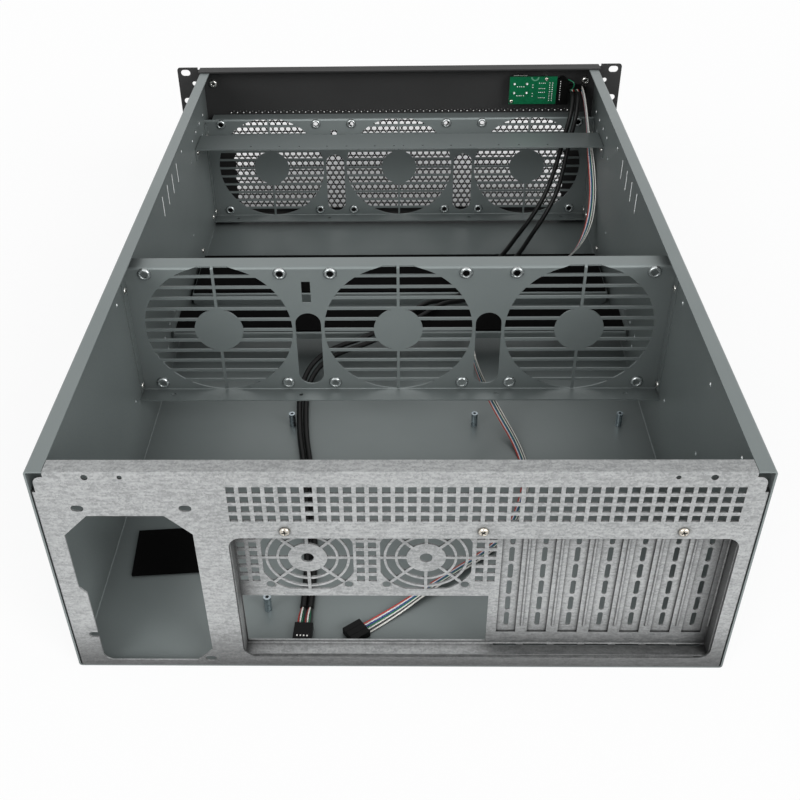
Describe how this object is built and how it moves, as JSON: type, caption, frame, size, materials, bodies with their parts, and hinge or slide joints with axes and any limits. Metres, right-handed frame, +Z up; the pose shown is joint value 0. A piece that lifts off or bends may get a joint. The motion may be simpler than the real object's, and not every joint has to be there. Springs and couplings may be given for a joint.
{
  "type": "rackmount server case",
  "caption": "Empty open-topped steel rackmount case with two fan walls, board posts, a recessed slotted rear pan, a perforated front panel with ears and handles, and loose front wiring.",
  "frame": {"origin": "centre of the tray's underside", "axes": "+Y towards the rear panel, +Z up, +X towards the power supply opening's side; the front panel faces -Y"},
  "size_m": [0.4826, 0.6964, 0.1765],
  "materials": {
    "zinc_steel": "electro-galvanised sheet, grey green, half gloss",
    "galvanised_steel": "spangled galvanised sheet, light grey",
    "nickel_screw": "bright nickel plate",
    "brass_standoff": "plated brass",
    "black_foam": "dull closed-cell foam",
    "black_coated_steel": "matt black powder coat",
    "green_board": "green circuit board",
    "black_plastic": "moulded black plastic",
    "clear_lens": "clear lens",
    "black_sheath": "flexible sheath and thin wires"
  },
  "bodies": {
    "case": {"chassis_tray": "zinc_steel", "rear_panel": "galvanised_steel", "rear_io_pan": "galvanised_steel", "slot_cover_1": "galvanised_steel", "slot_cover_2": "galvanised_steel", "slot_cover_3": "galvanised_steel", "slot_cover_4": "galvanised_steel", "slot_cover_5": "galvanised_steel", "slot_cover_6": "galvanised_steel", "slot_cover_7": "galvanised_steel", "rear_pan_screws": "nickel_screw", "slot_cover_screws": "nickel_screw", "mid_fan_wall": "zinc_steel", "front_fan_wall": "zinc_steel", "fan_wall_rivets": "nickel_screw", "side_screws": "nickel_screw", "cross_bar": "zinc_steel", "cross_bar_screws": "nickel_screw", "support_rail_front": "zinc_steel", "rail_pad_front": "black_foam", "support_rail_rear": "zinc_steel", "rail_pad_rear": "black_foam", "support_rail_screws": "nickel_screw", "supply_bay_pad": "black_foam", "motherboard_standoffs": "brass_standoff", "front_panel": "black_coated_steel", "usb_board": "green_board", "board_spacers": "nickel_screw", "board_screws": "nickel_screw", "usb_sockets": "nickel_screw", "switch_board": "black_plastic", "indicator_lamps": "clear_lens", "handle_left": "black_coated_steel", "handle_right": "black_coated_steel", "handle_screws": "nickel_screw", "usb_header_plug": "black_plastic", "lead_plugs": "black_plastic", "usb_cable_a": "black_sheath", "usb_cable_b": "black_sheath", "front_panel_lead": "black_sheath"},
    "power_button": {"power_button": "black_plastic"},
    "reset_button": {"reset_button": "black_plastic"}
  },
  "joints": [
    {"name": "power_press", "type": "slide", "parent": "case", "child": "power_button", "axis": [0, 1, 0], "range_m": [0, 0.0012], "stiffness_N_per_m": 400},
    {"name": "reset_press", "type": "slide", "parent": "case", "child": "reset_button", "axis": [0, 1, 0], "range_m": [0, 0.0012], "stiffness_N_per_m": 400}
  ]
}
